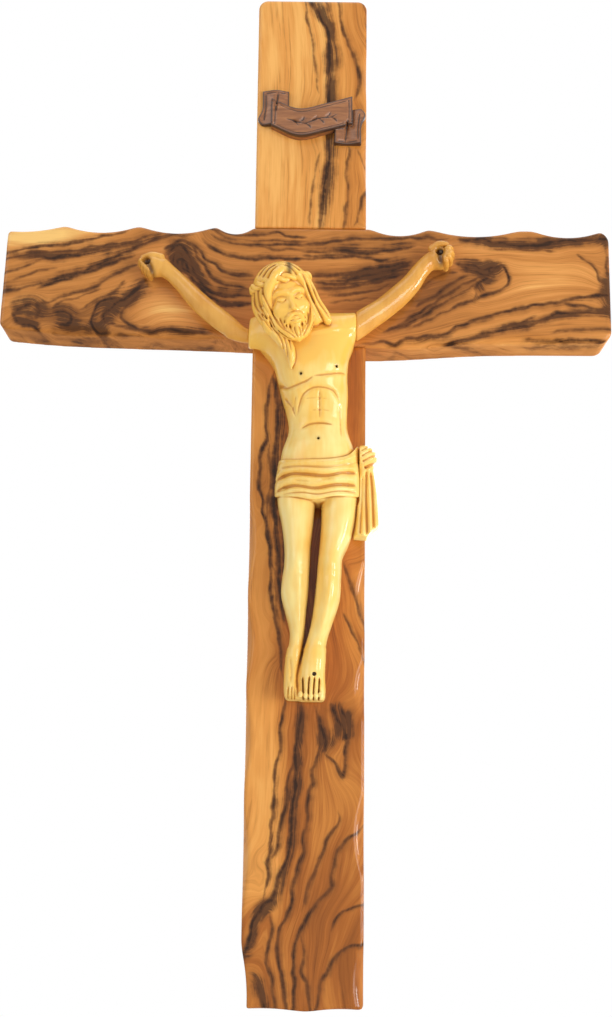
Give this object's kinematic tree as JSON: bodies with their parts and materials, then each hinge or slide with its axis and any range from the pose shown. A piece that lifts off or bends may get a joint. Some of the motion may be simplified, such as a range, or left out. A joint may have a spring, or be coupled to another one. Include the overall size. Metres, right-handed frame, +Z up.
{
  "type": "wall crucifix",
  "caption": "Olive-wood wall crucifix: half-lapped beams with gouged edges, a carved figure with separate arms, a bare ribbon scroll and a ring hanger let into the back.",
  "frame": {"origin": "on the flat back, on the upright's centreline, 14 mm below the top of the crossbeam", "axes": "+Z up the upright, +X to the right seen from the front, +Y out of the back to the wall; the front faces -Y"},
  "size_m": [0.1519, 0.0318, 0.251],
  "materials": {
    "olive_upright": "lacquered olive wood, honey with dark veins",
    "olive_crossbeam": "lacquered olive wood, brown with dark veins",
    "figure_wood": "lacquered pale wood with tinted cuts",
    "dowel_wood": "plain wood",
    "scroll_wood": "dark stained wood",
    "nail_iron": "dark iron",
    "hanger_brass": "brass plated"
  },
  "bodies": {
    "cross": {"upright_beam": "olive_upright", "crossbeam": "olive_crossbeam", "carved_figure": "figure_wood", "right_arm": "figure_wood", "left_arm": "figure_wood", "loincloth_knot": "figure_wood", "arm_dowels": "dowel_wood", "hand_nails": "nail_iron", "foot_nail": "nail_iron", "title_scroll": "scroll_wood", "hanger_strap": "hanger_brass", "hanger_screw": "hanger_brass"},
    "hanger_ring": {"hanger_ring": "hanger_brass"}
  },
  "joints": [
    {"name": "ring_swing", "type": "hinge", "parent": "cross", "child": "hanger_ring", "pos_m": [0, -0.00294, 0.0385], "axis": [-1, 0, 0], "range_deg": [0, 175]}
  ]
}
